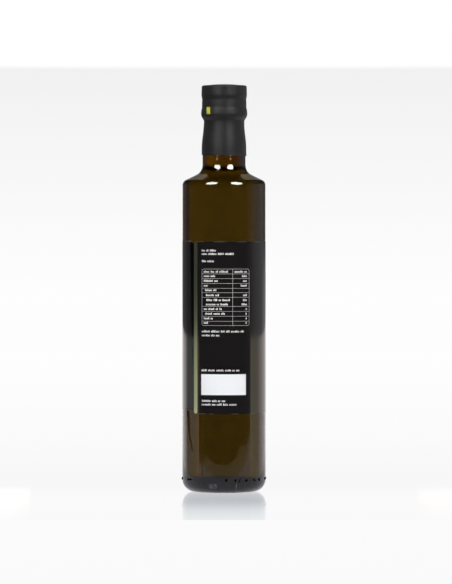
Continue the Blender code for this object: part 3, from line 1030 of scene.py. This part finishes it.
for name, side, tones in (("left_card", -CARD_SIDE, LEFT_TONES), ("right_card", CARD_SIDE, RIGHT_TONES)):
    card(name, side, tones[0][0], CARD_FAR, glowing(name + "_white", (1.0, 1.0, 1.0), along=tones))
card("left_strip_0", -CARD_SIDE, STRIP_NEAR, STRIP_FAR, glowing("strip_grey", STRIP_COLOUR, in_soft=0.0))
only_reflected("left_card_gap", [(-GAP_SIDE, y, z) for y, z in GAP_LINE], glowing("gap_dark", GAP_COLOUR))
screen_line = SCREEN_REACH * np.stack([np.sin(SCREEN_AZIMUTHS), np.cos(SCREEN_AZIMUTHS)], -1)
screen_corners = [(x, y, SCREEN_LOW) for x, y in screen_line]
screen_corners += [(x, y, SCREEN_HIGH) for x, y in screen_line[::-1]]
screen = studio_plane("lit_panel", screen_corners, glowing("panel_glow", (1.0, 1.0, 1.0), along=SCREEN_TONES))
screen.visible_camera = screen.visible_diffuse = screen.visible_glossy = False


# Lights: a wide soft light overhead and two softboxes in front, to the left and right. Their round
# fronts shine in the clear glass, and only faintly in the film and the labels.
BOX_AZIMUTH, BOX_HALF_WIDTH = math.radians(36.5), math.radians(17.0)
BOX_ELEVATION, BOX_HALF_HEIGHT = math.radians(27.0), math.radians(24.0)
BOX_REACH = 1.5
BOX_CENTRE_Z = 0.22
BOX_WIDTH, BOX_HEIGHT = 0.75, 1.25
BOX_POWER = 87.0
BOX_SHARP, BOX_SOFT = 25.0, 0.3
OVERHEAD_PLACE, OVERHEAD_AIM = (0.0, 0.2, 1.7), (0.0, 0.2, 0.0)
OVERHEAD_SIZE = 2.2
OVERHEAD_POWER = 34.0


def soft_light(name, place, aim, width, height, power):
    """A rectangular light turned to its aim, not seen itself and not seen in reflections."""
    lamp = bpy.data.lights.new(name, "AREA")
    lamp.shape = "RECTANGLE"
    lamp.size, lamp.size_y, lamp.energy = width, height, power
    light = bpy.data.objects.new(name, lamp)
    bpy.context.scene.collection.objects.link(light)
    light.location = place
    away = np.array(place) - np.array(aim)
    light.rotation_euler = (
        math.atan2(math.hypot(away[0], away[1]), away[2]),
        0.0,
        math.atan2(away[1], away[0]) + math.pi / 2,
    )
    light.visible_glossy = light.visible_camera = False


def toward(azimuth, elevation, reach):
    """Points at these azimuths from -Y and elevations, at this distance from the bottle's shoulder."""
    level = reach * np.cos(elevation)
    rise = BOX_CENTRE_Z + reach * np.sin(elevation)
    return np.stack([level * np.sin(azimuth), -level * np.cos(azimuth), rise], -1)


soft_light("overhead", OVERHEAD_PLACE, OVERHEAD_AIM, OVERHEAD_SIZE, OVERHEAD_SIZE, OVERHEAD_POWER)
box_glow = glowing("softbox_glow", (1.0, 1.0, 1.0), in_sharp=BOX_SHARP, in_soft=BOX_SOFT)
turn = np.linspace(0, 2 * math.pi, 48, endpoint=False)
for side, name in ((-1, "left_box"), (1, "right_box")):
    place = toward(side * BOX_AZIMUTH, BOX_ELEVATION, BOX_REACH)
    soft_light(name, place, (0.0, 0.0, BOX_CENTRE_Z), BOX_WIDTH, BOX_HEIGHT, BOX_POWER)
    rim_azimuth = side * (BOX_AZIMUTH + BOX_HALF_WIDTH * np.cos(turn))
    rim = toward(rim_azimuth, BOX_ELEVATION + BOX_HALF_HEIGHT * np.sin(turn), BOX_REACH)
    only_reflected(name + "_front", rim, box_glow)


# Studio: a white field behind the bottle, grey walls beside it and a dark room round the camera. Its
# tones go by direction, and by whether they are seen directly, in a reflection or through the glass.
SEEN_TONES = [
    (-5.0, 0.955),
    (-1.8, 0.98),
    (-1.0, 0.985),
    (0.0, 0.955),
    (1.0, 0.92),
    (2.10, 0.88),
    (2.15, 1.0),
    (3.0, 1.0),
]
GLOSS_TONES = [
    (-180, 0.03),
    (-74, 0.03),
    (-71, 0.09),
    (-57, 0.09),
    (-53, 0.15),
    (-38, 0.15),
    (-33, 0.13),
    (-19, 0.13),
    (-15, 1.0),
    (15, 1.0),
    (19, 0.10),
    (37, 0.14),
    (47, 0.30),
    (62, 0.35),
    (80, 0.35),
    (90, 0.30),
    (100, 0.17),
    (108, 0.10),
    (118, 0.03),
    (180, 0.03),
]
HEIGHT_TONES = [
    (-90, 1.0),
    (6, 1.0),
    (14, (0.31, 0.30, 0.28)),
    (27, (0.30, 0.28, 0.22)),
    (34, (0.47, 0.42, 0.28)),
    (40, (0.58, 0.51, 0.33)),
    (44, 0.03),
    (90, 0.03),
]
room = bpy.data.worlds.new("room")
bpy.context.scene.world = room
room.use_nodes = True
add, link = wiring(room.node_tree)
heading = add("ShaderNodeTexCoord")
apart = add("ShaderNodeSeparateXYZ")
link(heading.outputs["Generated"], apart.inputs["Vector"])
azimuth = add("ShaderNodeMath", operation="ARCTAN2")
link(apart.outputs["X"], azimuth.inputs[0])
link(apart.outputs["Y"], azimuth.inputs[1])
elevation = add("ShaderNodeMath", operation="ARCSINE")
link(apart.outputs["Z"], elevation.inputs[0])
round_about, up_down = azimuth.outputs["Value"], elevation.outputs["Value"]
reflected = add("ShaderNodeMix", {"Factor": 1.0}, data_type="RGBA", blend_type="MULTIPLY")
link(by_angle(add, link, round_about, GLOSS_TONES), reflected.inputs["A"])
link(by_angle(add, link, up_down, HEIGHT_TONES), reflected.inputs["B"])
path = add("ShaderNodeLightPath")
seen_through = add("ShaderNodeMix", data_type="RGBA")
link(path.outputs["Is Transmission Ray"], seen_through.inputs["Factor"])
link(reflected.outputs["Result"], seen_through.inputs["A"])
link(by_angle(add, link, round_about, THROUGH_TONES), seen_through.inputs["B"])
seen_direct = add("ShaderNodeMix", data_type="RGBA")
link(path.outputs["Is Camera Ray"], seen_direct.inputs["Factor"])
link(seen_through.outputs["Result"], seen_direct.inputs["A"])
link(by_angle(add, link, up_down, SEEN_TONES), seen_direct.inputs["B"])
link(seen_direct.outputs["Result"], room.node_tree.nodes["Background"].inputs["Color"])


# Camera: three metres in front of the bottle and level with the bare glass over the label. Its long
# lens is shifted down, so the bottle's sides stay upright in the picture.
PICTURE = (452, 584)
SENSOR = 36.0
lens = bpy.data.cameras.new("camera")
lens.sensor_width = SENSOR
lens.lens = FOCAL * SENSOR / PICTURE[1]
lens.shift_x = (PICTURE[0] / 2 - AXIS_X) / PICTURE[1]
lens.shift_y = (HORIZON_Y - PICTURE[1] / 2) / PICTURE[1]
lens.clip_start, lens.clip_end = 0.05, 20.0
camera = bpy.data.objects.new("camera", lens)
camera.location = (0.0, -CAMERA_DISTANCE * MM, CAMERA_HEIGHT * MM)
camera.rotation_euler = (math.pi / 2, 0.0, 0.0)
bpy.context.scene.collection.objects.link(camera)
bpy.context.scene.camera = camera
bpy.context.scene.view_settings.view_transform = "Standard"
